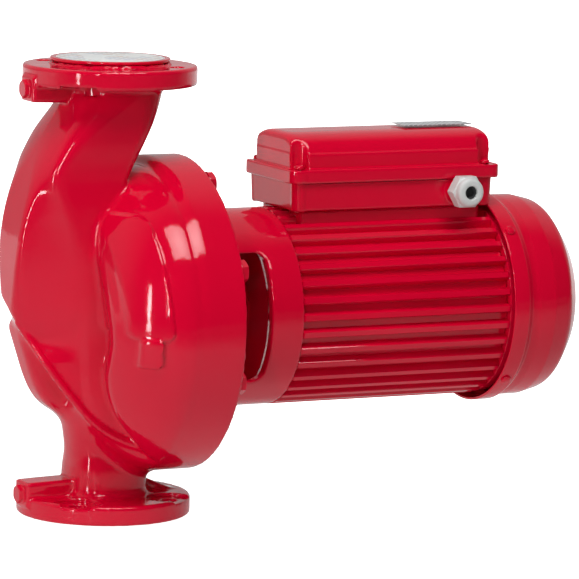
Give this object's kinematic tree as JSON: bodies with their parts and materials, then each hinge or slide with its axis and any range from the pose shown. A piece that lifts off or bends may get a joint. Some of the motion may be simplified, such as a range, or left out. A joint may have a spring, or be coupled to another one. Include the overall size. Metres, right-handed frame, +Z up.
{
  "type": "in-line centrifugal pump",
  "caption": "Red enamelled in-line centrifugal water pump: flanged volute casing close-coupled to a finned motor with a terminal box and fan cover.",
  "frame": {"origin": "centre of the lower flange's raised gasket face, on the port axis", "axes": "+Z up the port axis to the upper flange; +X along the shaft from the impeller to the fan cover; -Y is the side with the cable gland"},
  "size_m": [0.557, 0.288, 0.4233],
  "materials": {
    "red_enamel": "gloss",
    "stainless_steel": "ground",
    "zinc_steel": "satin",
    "laminated_steel": "satin",
    "enamelled_copper": "varnished",
    "bronze": "machined",
    "grey_iron": "bare",
    "black_rubber": "matte",
    "seal_carbon": "lapped",
    "seal_ceramic": "lapped",
    "grey_nylon": "satin",
    "black_plastic": "satin",
    "white_plastic": "satin",
    "plate_aluminium": "anodised"
  },
  "bodies": {
    "casing_and_motor": {"volute_casing": "red_enamel", "tapping_plug_lower": "red_enamel", "tapping_plug_upper": "red_enamel", "wear_ring": "bronze", "casing_o_ring": "black_rubber", "casing_bolt_1": "red_enamel", "casing_bolt_2": "red_enamel", "casing_bolt_3": "red_enamel", "casing_bolt_4": "red_enamel", "casing_bolt_5": "red_enamel", "casing_bolt_6": "red_enamel", "casing_bolt_7": "red_enamel", "casing_bolt_8": "red_enamel", "motor_bracket": "red_enamel", "seal_seat": "seal_ceramic", "front_bearing_outer": "zinc_steel", "rear_bearing_outer": "zinc_steel", "motor_frame": "red_enamel", "stator_core": "laminated_steel", "winding_end_front": "enamelled_copper", "winding_end_rear": "enamelled_copper", "rear_end_shield": "red_enamel", "fan_cover": "red_enamel", "fan_cover_screw_1": "red_enamel", "fan_cover_screw_2": "red_enamel", "fan_cover_screw_3": "red_enamel", "fan_cover_screw_4": "red_enamel", "terminal_box_base": "red_enamel", "terminal_box_gasket": "black_rubber", "terminal_block": "black_plastic", "run_capacitor": "white_plastic", "gland_body": "red_enamel", "gland_nut": "grey_nylon", "gland_insert": "black_rubber", "gland_locknut": "zinc_steel"},
    "rotor": {"shaft": "stainless_steel", "impeller_key": "zinc_steel", "impeller": "grey_iron", "impeller_washer": "stainless_steel", "impeller_nut": "stainless_steel", "seal_bellows": "black_rubber", "seal_rotating_ring": "seal_carbon", "water_slinger": "black_rubber", "rotor_core": "laminated_steel", "front_bearing_inner": "zinc_steel", "rear_bearing_inner": "zinc_steel", "cooling_fan": "black_plastic", "fan_clip": "zinc_steel"},
    "front_balls": {"front_bearing_cage": "bronze"},
    "rear_balls": {"rear_bearing_cage": "bronze"},
    "lid": {"terminal_box_lid": "red_enamel", "lid_screw_1": "zinc_steel", "lid_screw_2": "zinc_steel", "lid_screw_3": "zinc_steel", "lid_screw_4": "zinc_steel", "nameplate": "plate_aluminium"},
    "port_cover": {"inlet_port_cover": "red_enamel"}
  },
  "joints": [
    {"name": "rotor_spin", "type": "hinge", "parent": "casing_and_motor", "child": "rotor", "pos_m": [0, 0, 0.188], "axis": [1, 0, 0], "continuous": true},
    {"name": "front_balls_spin", "type": "hinge", "parent": "casing_and_motor", "child": "front_balls", "pos_m": [0.142, 0, 0.188], "axis": [1, 0, 0], "continuous": true},
    {"name": "rear_balls_spin", "type": "hinge", "parent": "casing_and_motor", "child": "rear_balls", "pos_m": [0.3615, 0, 0.188], "axis": [1, 0, 0], "continuous": true},
    {"name": "lid_lift", "type": "slide", "parent": "casing_and_motor", "child": "lid", "axis": [0, 0, 1], "range_m": [0, 0.09]},
    {"name": "port_cover_lift", "type": "slide", "parent": "casing_and_motor", "child": "port_cover", "axis": [0, 0, 1], "range_m": [0, 0.06]}
  ],
  "couplings": [
    {"joint": "front_balls_spin", "follows": "rotor_spin", "ratio": 0.4065},
    {"joint": "rear_balls_spin", "follows": "rotor_spin", "ratio": 0.4169}
  ]
}
